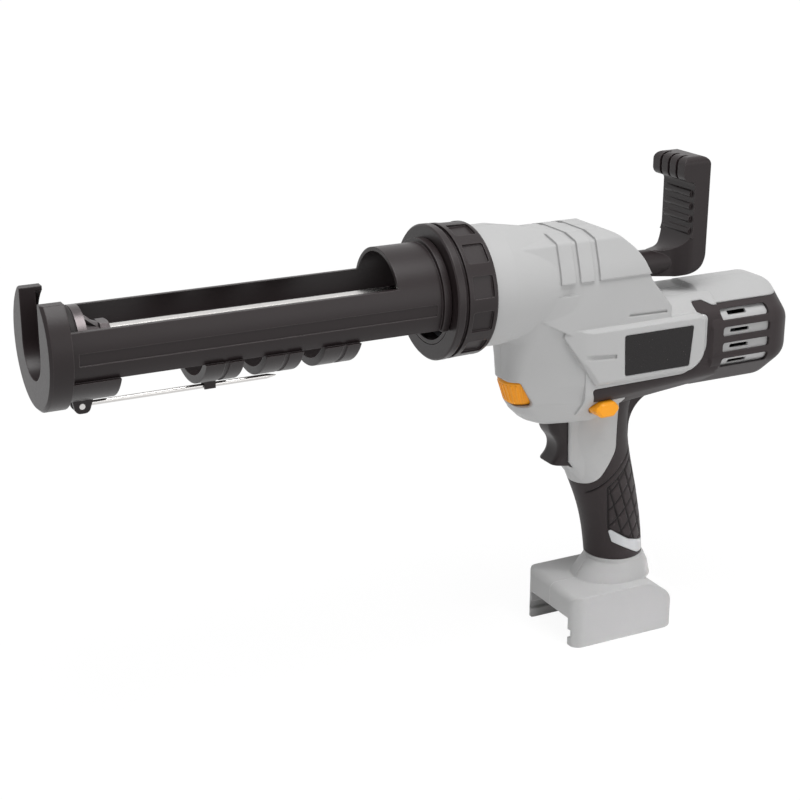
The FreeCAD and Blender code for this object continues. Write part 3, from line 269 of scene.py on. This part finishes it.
def moulded_plastic(name, tint, highlight_tint, roughness, grain_mm, grain_depth_mm, edge_radius_mm=0.7):
    """A grained plastic with a drifting tone and a painted highlight on its edges."""
    material, tree, shader = new_material(name)
    place = object_place(tree)
    rounded = rounded_normal(tree, edge_radius_mm)
    flat = add_node(tree, "ShaderNodeNewGeometry").outputs["Normal"]
    match = add_node(tree, "ShaderNodeVectorMath", {0: rounded, 1: flat}, operation="DOT_PRODUCT")
    edge_range = {"Value": match.outputs["Value"], "From Min": flat_match, "From Max": edge_match}
    at_edge = add_node(tree, "ShaderNodeMapRange", edge_range).outputs[0]
    tone = shaded(tree, tint, ranged(tree, noise(tree, place, plastic_cloud_mm, 4.0), 0.95, 1.04))
    # painted highlight: the edges take the lighter edge tint
    painted_edge_highlight = calculated(tree, "MULTIPLY", at_edge, edge_highlight_share)
    grain = noise(tree, place, grain_mm, 3.0)
    feed(tree, shader, {
        "Base Color": covered(tree, painted_edge_highlight, tone, colour(highlight_tint)),
        "Roughness": ranged(tree, grain, roughness - 0.06, roughness + 0.08),
        "Normal": relief(tree, grain, rounded, 0.6, grain_depth_mm),
        "Specular IOR Level": 0.3,
    })
    return material


# %% Plastics
# The second colour of each finish is the painted highlight on its edges.
# Light grey ABS shells: a dry satin that stays pale in the highlights.
grey_abs = moulded_plastic("light_grey_abs", "B1B1B1", "C8C8C8", 0.46, 0.9, 0.05, 1.5)
# Glass-filled nylon of the cradle, cap, ring and handle: warm black, a shade glossier.
black_nylon = moulded_plastic("warm_black_nylon", "231C1D", "5C5455", 0.36, 0.8, 0.05)
# Inserts in the grip: a cool silver grey.
silver_abs = moulded_plastic("silver_grey_abs", "BEBFC1", "D5D6D8", 0.40, 0.9, 0.03)
# Blank plate: smoother than the shells around it.
plate_abs = moulded_plastic("smooth_black_abs", "171415", "343031", 0.28, 0.8, 0.015, 0.3)
# Selector and dial in acetal: dense orange and a soft gloss.
orange_acetal = moulded_plastic("orange_acetal", "F5A01A", "FBB840", 0.32, 0.7, 0.02)
# Plain mouldings inside the housing: dull dark grey.
inner_nylon = moulded_plastic("dark_inner_nylon", "3C3C3F", "56565A", 0.5, 0.9, 0.04)
# Control board: green lacquer with a coarse grain.
board_laminate = moulded_plastic("green_board_laminate", "1F5A38", "3C7A55", 0.35, 1.2, 0.02)
paint(grey_abs, "left_housing", "right_housing")
paint(black_nylon, "cartridge_cradle", "front_cap", "lock_ring", "pull_handle", "terminal_block")
paint(silver_abs, "grip_accents")
paint(plate_abs, "side_plate")
paint(orange_acetal, "selector_button", "speed_dial")
paint(inner_nylon, "motor_end_bell", "cooling_fan", "trigger_switch")
paint(board_laminate, "control_board")

# %% [markdown]
# ## The trigger's finger hollow
# A finger rests on the trigger for minutes, so its front is a deep hollow with a soft lip
# below it, and it rolls over to both sides. Rounding the CAD solid's own edges fails where
# they are short, so the piece is made anew inside its box. It starts as a flat outline of
# seven corners on the middle plane, and `bevel` turns corners into arcs.

# %% Trigger outline
trigger_low, trigger_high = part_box("trigger")
blade_rear = -69.5 * MM
arc_segments = 8
trigger_outline = (  # x and z, and how much of the corner's sides its arc takes, all in mm
    (-51.3, 1000 * trigger_high.z, 0.0),
    (-51.3, -89.0, 4.0),
    (-60.6, -101.0, 8.0),
    (-52.6, -109.6, 1.6),
    (-60.0, 1000 * trigger_low.z, 3.5),
    (1000 * blade_rear, 1000 * trigger_low.z, 0.0),
    (1000 * blade_rear, 1000 * trigger_high.z, 0.0),
)
lever = bmesh.new()
corners = [lever.verts.new((x * MM, 0, z * MM)) for x, z, arc in trigger_outline]
lever.faces.new(corners)
for corner, (x, z, arc) in zip(corners, trigger_outline):
    if arc:
        bmesh.ops.bevel(lever, geom=[corner], offset=arc * MM, offset_type="OFFSET", segments=arc_segments,
                        profile=0.5, affect="VERTICES", clamp_overlap=True, material=-1)
print("trigger outline has", len(lever.verts), "points")

# %% [markdown]
# The outline is extruded sideways in steps. Each step draws its front back along a quarter
# circle, and `mirror` makes the other half. An extrusion leaves the face that it started
# from, which would end up inside the piece, so that face is deleted. A stud at the back
# meets the switch.

# %% Trigger body
roll_radius = 5.0 * MM
roll_steps = 12
stud_radius = 3.0 * MM
stud_height = -103 * MM
stud_sunk = 1.0 * MM
flat_half = trigger_high.y - roll_radius
stations = [(flat_half, 0.0)]  # y, and how far the front has rolled back
for step in range(1, roll_steps + 1):
    angle = math.pi / 2 * step / roll_steps
    stations.append((flat_half + roll_radius * math.sin(angle), roll_radius * (1 - math.cos(angle))))
cap = lever.faces[:]
reached_y, reached_back = 0.0, 0.0
for y, back in stations:
    made = bmesh.ops.extrude_face_region(lever, geom=cap)["geom"]
    bmesh.ops.delete(lever, geom=cap, context="FACES")
    cap = only(bmesh.types.BMFace, made)
    rim = only(bmesh.types.BMVert, made)
    front = [vert for vert in rim if vert.co.x > blade_rear + 0.1 * MM]
    bmesh.ops.translate(lever, verts=rim, vec=(0, y - reached_y, 0))
    bmesh.ops.translate(lever, verts=front, vec=(reached_back - back, 0, 0))
    reached_y, reached_back = y, back
whole = lever.verts[:] + lever.edges[:] + lever.faces[:]
bmesh.ops.mirror(lever, geom=whole, axis="Y", merge_dist=same_point)
stud_length = blade_rear + stud_sunk - trigger_low.x
stud_middle = Matrix.Translation((trigger_low.x + stud_length / 2, 0, stud_height))
bmesh.ops.create_cone(lever, cap_ends=True, segments=24, radius1=stud_radius, radius2=stud_radius,
                      depth=stud_length, matrix=stud_middle @ Matrix.Rotation(math.pi / 2, 4, "Y"))
finished(lever, "finger_trigger", "trigger", black_nylon, ["trigger"])

# %% [markdown]
# ## Soft overmould
# The black skin on the grip and the motor end is a soft thermoplastic rubber (TPE),
# moulded over the shell. It is duller than the nylon and slightly velvety. Its grooves
# get painted shade: each point of the skin will carry an attribute that is 1 at the bottom
# of a groove and 0 on the surface, and the material darkens by it.

# %% Overmould finish
# tint and share of the painted shade in the grooves
groove_shade_tint = "0A0808"
groove_shade_share = 0.85
rubber_cloud_mm, rubber_grain_mm = 22, 0.8


def soft_rubber(name, tint):
    """A dull rubber with a faint sheen and painted shade in its grooves."""
    material, tree, shader = new_material(name)
    place = object_place(tree)
    tone = shaded(tree, tint, ranged(tree, noise(tree, place, rubber_cloud_mm, 4.0), 0.88, 1.10))
    groove = add_node(tree, "ShaderNodeAttribute", attribute_name="groove").outputs["Fac"]
    # painted shade: darker towards the bottom of each groove
    painted_groove_shade = calculated(tree, "MULTIPLY", groove, groove_shade_share)
    grain = noise(tree, place, rubber_grain_mm, 2.0)
    feed(tree, shader, {
        "Base Color": covered(tree, painted_groove_shade, tone, colour(groove_shade_tint)),
        "Roughness": 0.58,
        "Normal": relief(tree, grain, rounded_normal(tree, 0.4), 0.7, 0.05),
        "Specular IOR Level": 0.25,
        "Sheen Weight": 0.08,
        "Sheen Roughness": 0.5,
    })
    return material


# Grip skin: dull, warm black.
grip_rubber = soft_rubber("grip_tpe_rubber", "2B2425")
# Wiper that seals the cartridge: a darker rubber without grooves.
wiper_rubber = soft_rubber("wiper_nitrile_rubber", "1E1A1A")
paint(wiper_rubber, "piston_wiper")

# %% [markdown]
# ## Diamonds on the back of the grip
# A field of long diamonds between narrow V-grooves keeps the hand from slipping. The
# grooves follow straight lines in the side view, so each line is written as
# a * x + z + b = 0, with b in mm. Two families of parallel lines make the diamonds, four
# lines are the field's border, and one more leads along the seam of the shell. Grooves
# could be a bump in the material, but then the mesh would stay smooth, so they are cut.

# %% Groove lines
groove_width = 1.7 * MM
groove_depth = 0.9 * MM
groove_families = ((-3.03, -137.0, 6.65), (1.176, 244.6, 7.62))  # a, b, pitch in mm
field_edges = (  # side kept, a, b
    (1, -8.33, -589.0),
    (-1, 0.83, 197.7),
    (1, -0.544, 104.6),
    (-1, 0.0, 106.0),
)
lead_line = (0.85, 194.5)
lead_middle, lead_half = -93 * MM, 17 * MM


def off_line(point, a, b):
    """A point's distance from a line of the side view."""
    return (a * point.x + point.z + b * MM) / math.hypot(a, 1)


def field_depth(point):
    """How far inside the field of diamonds a point is; negative outside."""
    return min(side * off_line(point, a, b) for side, a, b in field_edges)


def groove_share(point):
    """1 at the bottom of a groove and 0 beside it."""
    gaps = [abs(field_depth(point))]
    if field_depth(point) > 0:
        for a, b, pitch in groove_families:
            along = off_line(point, a, b) % (pitch * MM)
            gaps += [along, pitch * MM - along]
    if abs(point.x - lead_middle) < lead_half:
        gaps.append(abs(off_line(point, *lead_line)))
    return max(0.0, 1 - 2 * min(gaps) / groove_width)


# %% [markdown]
# `bisect_plane` cuts the outer faces of the skin along the middle of each groove and along
# both its edges, and hands back all the geometry for the next cut. Then the points in the
# middle are pushed in against the surface's normal, which leaves a clean V. The faces on the
# outside are those that look away from the middle line of the grip. The attribute's layer
# is made first, because adding one later would lose hold of the points.

# %% Cut the grooves
grip_top, grip_bottom = -98 * MM, -168 * MM
grip_middle, grip_slope = -53.7 * MM, 0.298  # x of the grip's middle line at z = 0, and its slope
looks_out = 0.3  # least cosine between a face's normal and the way out
on_plane = 0.01 * MM


def on_grip(face):
    """Whether a face is on the outside of the grip, level with the field."""
    middle = face.calc_center_median()
    out = Vector((middle.x - grip_middle - grip_slope * middle.z, middle.y, 0))
    heights = [vert.co.z for vert in face.verts]
    level = min(heights) < grip_top and max(heights) > grip_bottom
    return level and face.normal.dot(out) > looks_out * out.length


def groove_lines(points):
    """Every groove's line as a, b and its shift, with the families spread over the points."""
    lines = [(a, b, 0.0) for side, a, b in field_edges] + [(*lead_line, 0.0)]
    for a, b, pitch in groove_families:
        spread = [off_line(point, a, b) / (pitch * MM) for point in points]
        steps = range(math.floor(min(spread)), math.ceil(max(spread)) + 1)
        lines += [(a, b, step * pitch * MM) for step in steps]
    return lines


def cut_grooves(skin):
    """Cuts all grooves into the outside of a skin, and notes each point's share of depth."""
    shares = skin.verts.layers.float.new("groove")
    outside = with_borders([face for face in skin.faces if on_grip(face)])
    for a, b, shift in groove_lines([vert.co for vert in skin.verts if field_depth(vert.co) > 0]):
        across = Vector((a, 0, 1)).normalized()
        middle = shift - b * MM / math.hypot(a, 1)
        for side in (-0.5, 0.0, 0.5):
            outside = bmesh.ops.bisect_plane(skin, geom=outside, dist=cut_tolerance, plane_no=across,
                                             plane_co=across * (middle + side * groove_width))["geom"]
    skin.normal_update()
    faces = set(only(bmesh.types.BMFace, outside))
    pushed = []
    for vert in only(bmesh.types.BMVert, outside):
        around = [face for face in vert.link_faces if face in faces]
        at_seam = abs(vert.co.y) < on_plane
        share = groove_share(vert.co)
        if share > 0 and (at_seam or len(around) == len(vert.link_faces)):
            inward = -sum((face.normal for face in around), Vector())
            if at_seam:
                inward.y = 0
            pushed.append((vert, share, inward.normalized()))
    for vert, share, inward in pushed:
        vert.co += inward * share * groove_depth
        vert[shares] = share


for side in ("left", "right"):
    skin = copied(side + "_overmould")
    cut_grooves(skin)
    finished(skin, side + "_grip_skin", "body", grip_rubber, [side + "_overmould"])

# %% [markdown]
# ## Metals
# The push rod and the piercing wire are bright drawn steel, so their fine scratches run
# along X. The gears are machined, the bushes are sintered bronze and the gear
# case is die-cast aluminium. One recipe serves all of them: a metal's colour is its
# reflection, and a noise stretched along the drawing direction varies its roughness.

# %% Metal finish


def metal(name, tint, roughness, stretch=(1.0, 1.0, 1.0), grain_mm=0.7, relief_mm=0.01):
    """A metal with fine lines, which are longer along an axis whose stretch is smaller."""
    material, tree, shader = new_material(name)
    drawn = add_node(tree, "ShaderNodeMapping", {"Vector": object_place(tree), "Scale": stretch}).outputs[0]
    lines = noise(tree, drawn, grain_mm, 3.0)
    feed(tree, shader, {
        "Base Color": shaded(tree, tint, ranged(tree, lines, 0.9, 1.06)),
        "Roughness": ranged(tree, lines, roughness * 0.7, roughness * 1.4),
        "Normal": relief(tree, lines, rounded_normal(tree, 0.25, samples=4), 0.5, relief_mm),
        "Metallic": 1.0,
    })
    return material


# %% Metals
# Bright drawn steel: scratches twelve times longer along X than across.
drawn_steel = metal("bright_drawn_steel", "D2D0CE", 0.24, (1 / 12, 1.0, 1.0))
# Zinc-plated screws and clutch plates: a cloudy satin.
zinc_steel = metal("zinc_plated_steel", "C6C5C3", 0.34, grain_mm=2.0)
# Black-oxide steel of the piston: dark, with a bright line where the rim catches the light.
oxide_steel = metal("black_oxide_steel", "5B5657", 0.32, grain_mm=2.0)
# Gears: cutter marks that run along Y.
gear_steel = metal("machined_gear_steel", "9A9A9E", 0.32, (1.0, 1 / 6, 1.0))
# Bushes: pressed from bronze powder, so finely pitted and dull.
bronze = metal("sintered_bronze", "B58B4E", 0.42, grain_mm=0.5, relief_mm=0.02)
# Gear case: the mottled pale skin of a casting.
cast_aluminium = metal("die_cast_aluminium", "B4B4B8", 0.45, grain_mm=1.5, relief_mm=0.03)
# Motor: a darker drawn can, and almost black magnets.
can_steel = metal("motor_can_steel", "8C8C90", 0.36, grain_mm=3.0)
ferrite = metal("ferrite_magnet", "4A4A4C", 0.6, grain_mm=1.0)
# Commutator and contact blades: clean copper, the one warm glint in the foot.
copper = metal("bright_copper", "C9804F", 0.28)
paint(drawn_steel, "push_rod", "piercing_wire", "wire_pivot_pin", "pinion_shaft", "layshaft",
      "motor_shaft", "dial_pin")
paint(oxide_steel, "piston_plate", "piston_nut", "piston_screw")
paint(zinc_steel, "clutch_disc", "clutch_collar", "clutch_spring", "motor_bearing")
paint(gear_steel, "drive_pinion", "output_gear", "layshaft_pinion", "bevel_gear", "bevel_pinion",
      "planet_carrier", "sun_gear", "ring_gear", "planet_gear_1", "planet_gear_2", "planet_gear_3")
paint(bronze, "rod_bush_front", "rod_bush_rear", "pinion_bushes", "layshaft_bushes", "carrier_bush")
paint(cast_aluminium, "gear_case", "cradle_socket")
paint(can_steel, "motor_can", "armature")
paint(ferrite, "motor_magnets")
paint(copper, "commutator", "contact_blades")

# %% [markdown]
# ## Ribs on the speed dial
# The dial is a tapered drum that a thumb turns through the slot in the nose. Fine ribs
# give the thumb its hold. One rib is a bevelled box that leans with the drum's taper, and
# a spin about the dial's axis copies it all round. The ribs stand 0.3 mm proud, less than
# the gap in the slot, and they ride with the dial.

# %% Dial ribs
rib_count = 30
rib_proud = 0.3 * MM
rib_round = 0.3 * MM
rib_size = Vector((1.6, 1.2, 11.0)) * MM
drum_narrows, drum_height = 2.2, 15.0  # mm that the drum's radius loses over its height
dial_taper = math.atan2(drum_narrows, drum_height)
dial_low, dial_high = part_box("speed_dial")
dial_widest = (dial_high.y - dial_low.y) / 2
dial_radius = dial_widest - math.tan(dial_taper) * rib_size.z / 2
ribs = bmesh.new()
bmesh.ops.create_cube(ribs, size=1.0, matrix=Matrix.Diagonal((*rib_size, 1.0)))
bmesh.ops.bevel(ribs, geom=ribs.edges[:], offset=rib_round, offset_type="OFFSET", segments=2, profile=0.5,
                affect="EDGES", material=-1)
lean = Matrix.Rotation(dial_taper, 4, "Y")
out = Matrix.Translation((dial_radius + rib_proud - rib_size.x / 2, 0, 0))
bmesh.ops.transform(ribs, matrix=out @ lean, verts=ribs.verts)
bmesh.ops.spin(ribs, geom=ribs.verts[:] + ribs.edges[:] + ribs.faces[:], cent=(0, 0, 0), axis=(0, 0, 1),
               angle=math.tau * (rib_count - 1) / rib_count, steps=rib_count - 1, use_duplicate=True)
dial_turn = joints["dial_turn"]
upright = Vector(dial_turn["axis"]).to_track_quat("Z", "Y").to_matrix().to_4x4()
bmesh.ops.transform(ribs, matrix=Matrix.Translation(dial_turn["pos_m"]) @ upright, verts=ribs.verts)
finished(ribs, "dial_ribs", "dial", orange_acetal)

# %% [markdown]
# ## Cross recesses in the screws
# Six screws hold the right shell to the left one. Their heads sit deep in their holes and
# show the cross for the driver. The heads' flat tops are cut along the sides of the cross
# with `bisect_plane`, and the faces inside the cross are extruded down into the head.

# %% Screw recesses
screw_places = ((-30, 17), (-76, 15), (-118, -68), (-194, -30), (-194, -58), (-103, -150))  # x, z in mm
cross_length, cross_width, cross_depth = 3.8 * MM, 1.0 * MM, 1.5 * MM
head_radius = 3.0 * MM
screws = copied("housing_screws")
head_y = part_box("housing_screws")[0].y


def on_head(face, middle):
    """Whether a face is on the flat top of the head with this middle."""
    off = face.calc_center_median() - middle
    return abs(off.y) < on_plane and off.length < head_radius


def in_cross(face, middle):
    """Whether a face is in one of the cross's two bars."""
    off = face.calc_center_median() - middle
    near, far = sorted((abs(off.x), abs(off.z)))
    return far < cross_length / 2 and near < cross_width / 2


for x, z in screw_places:
    middle = Vector((x * MM, head_y, z * MM))
    top = with_borders([face for face in screws.faces if on_head(face, middle)])
    for across in (Vector((1, 0, 0)), Vector((0, 0, 1))):
        for shift in (-cross_length, -cross_width, cross_width, cross_length):
            top = bmesh.ops.bisect_plane(screws, geom=top, dist=cut_tolerance, plane_no=across,
                                         plane_co=middle + across * shift / 2)["geom"]
    recess = [face for face in only(bmesh.types.BMFace, top) if in_cross(face, middle)]
    sunk = bmesh.ops.extrude_face_region(screws, geom=recess)["geom"]
    bmesh.ops.delete(screws, geom=recess, context="FACES")
    bmesh.ops.translate(screws, verts=only(bmesh.types.BMVert, sunk), vec=(0, cross_depth, 0))
finished(screws, "cross_head_screws", "body", zinc_steel, ["housing_screws"])

# %% [markdown]
# ## Floor and backdrop
# The tool is shown on plain white. The floor is a large pale sheet that mostly glows, so it
# reads as white and still takes a faint soft shadow. Its glow grows with the distance from
# the tool until the far floor is as white as the room behind it and no horizon shows. Only
# the camera and reflections see the glow: to all other light the floor is white paper.

# %% Floor
floor_half_side = 20.0
glow_strength = 1.02
glow_near, near_reach, far_reach = 0.92, 0.4, 1.6  # share near the tool; metres over which it grows
floor_z = cad_box[0].z
floor_mesh = bpy.data.meshes.new("floor")
sheet = bmesh.new()
bmesh.ops.create_grid(sheet, x_segments=1, y_segments=1, size=floor_half_side)
bmesh.ops.translate(sheet, verts=sheet.verts, vec=(0, 0, floor_z))
sheet.to_mesh(floor_mesh)
sheet.free()
floor = bpy.data.objects.new("floor", floor_mesh)
bpy.context.scene.collection.objects.link(floor)
floor_paper, tree, shader = new_material("white_paper_sweep")
feed(tree, shader, {"Base Color": colour("FFFFFF"), "Roughness": 0.9, "Specular IOR Level": 0.0})
path = add_node(tree, "ShaderNodeLightPath").outputs
seen = calculated(tree, "MAXIMUM", path["Is Camera Ray"], path["Is Glossy Ray"])
glow = add_node(tree, "ShaderNodeEmission", {"Color": colour("FFFFFF"), "Strength": glow_strength}).outputs[0]
reach = add_node(tree, "ShaderNodeVectorMath", {0: object_place(tree)}, operation="LENGTH").outputs["Value"]
glow_range = {"Value": reach, "From Min": near_reach, "From Max": far_reach, "To Min": glow_near}
glowing = add_node(tree, "ShaderNodeMapRange", glow_range).outputs[0]
share = calculated(tree, "MULTIPLY", seen, glowing)
blend = add_node(tree, "ShaderNodeMixShader", {0: share, 1: shader.outputs[0], 2: glow}).outputs[0]
feed(tree, tree.nodes["Material Output"], {"Surface": blend})
floor.data.materials.append(floor_paper)
print("floor at, in mm:", round(floor_z / MM, 1))

# %% [markdown]
# ## Light
# The world is an even white room, which the camera and reflections see at full strength and
# which lights the tool at a third of it. A large softbox above the tool and a little to its
# left models the forms, and a weaker one fills from the left rear. The housing would leave
# the battery foot in its shade, so a narrow beam from the upper left rear lifts it.

# %% World and lamps
room_light, room_seen = 0.34, 1.0
world = bpy.data.worlds.new("white_room")
bpy.context.scene.world = world
world.use_nodes = True
tree = world.node_tree
path = add_node(tree, "ShaderNodeLightPath").outputs
direct = calculated(tree, "MAXIMUM", path["Is Camera Ray"], path["Is Glossy Ray"])
direct = calculated(tree, "MAXIMUM", direct, path["Is Transmission Ray"])
level = ranged(tree, direct, room_light, room_seen)
feed(tree, tree.nodes["Background"], {"Color": colour("FFFFFF"), "Strength": level})


def softbox(name, place_mm, aim_mm, size_mm, watts, spread_degrees=180):
    """A round area lamp at a place, aimed at a point; a small spread makes a beam."""
    lamp = bpy.data.lights.new(name, "AREA")
    lamp.shape = "DISK"
    lamp.size = size_mm * MM
    lamp.energy = watts
    lamp.spread = math.radians(spread_degrees)
    holder = bpy.data.objects.new(name, lamp)
    holder.location = Vector(place_mm) * MM
    holder.rotation_mode = "QUATERNION"
    holder.rotation_quaternion = (Vector(place_mm) - Vector(aim_mm)).to_track_quat("Z", "Y")
    bpy.context.scene.collection.objects.link(holder)
    print(name, "gives", watts, "W")


softbox("key_softbox", (0, 420, 1400), (-20, 0, -40), 1200, 22)
softbox("fill_softbox", (-500, 1200, 300), (-60, 0, -60), 900, 2.5)
softbox("foot_snoot", (-400, 720, 1100), (-95, 20, -215), 120, 0.010, 5)
bpy.context.scene.view_settings.view_transform = "Standard"
